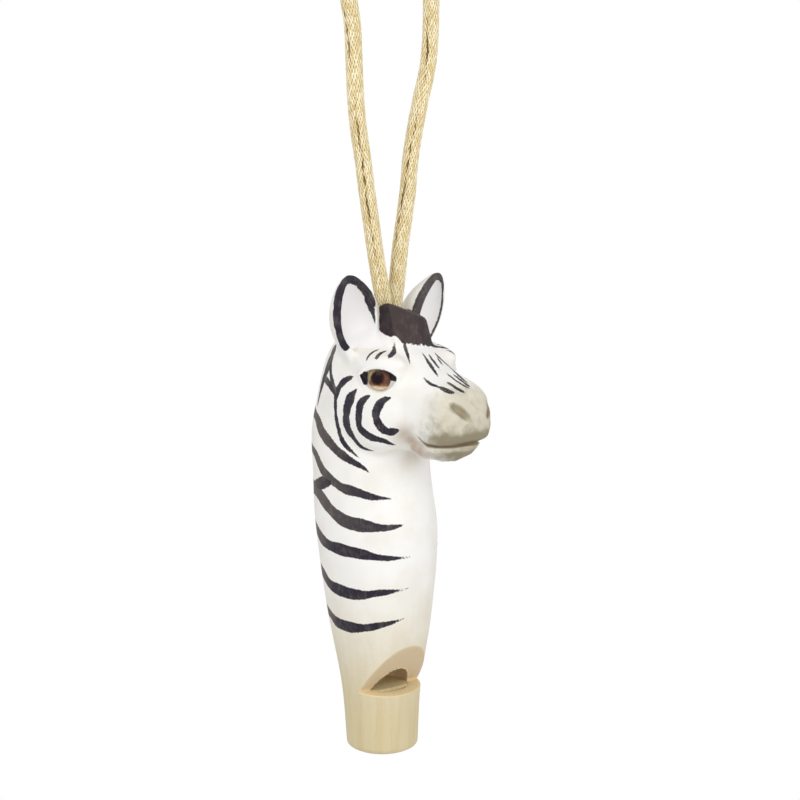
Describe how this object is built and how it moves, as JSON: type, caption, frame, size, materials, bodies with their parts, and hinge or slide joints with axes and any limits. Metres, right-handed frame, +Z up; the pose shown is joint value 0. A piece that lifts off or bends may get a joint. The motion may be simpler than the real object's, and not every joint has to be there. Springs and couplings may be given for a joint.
{
  "type": "carved whistle",
  "caption": "Carved wooden fipple whistle shaped as a zebra's head and neck, with a plugged windway, glass eyes and a braided cord loop to hang it by.",
  "frame": {"origin": "the underside of the cord's bight, where it rests on its peg", "axes": "+X out of the animal's muzzle, +Y to the animal's left, +Z up, with the whistle hanging from its cord"},
  "size_m": [0.0424, 0.0332, 0.1749],
  "materials": {
    "painted_wood": "matte white paint with brushed dark stripes, fading to bare pale wood at the mouth end",
    "plug_wood": "bare pale wood",
    "eye_glass": "glossy brown",
    "cord_braid": "satin braid"
  },
  "bodies": {
    "root": {"carved_body": "painted_wood", "fipple_plug": "plug_wood", "eye_right": "eye_glass", "eye_left": "eye_glass", "neck_cord": "cord_braid"}
  },
  "joints": []
}
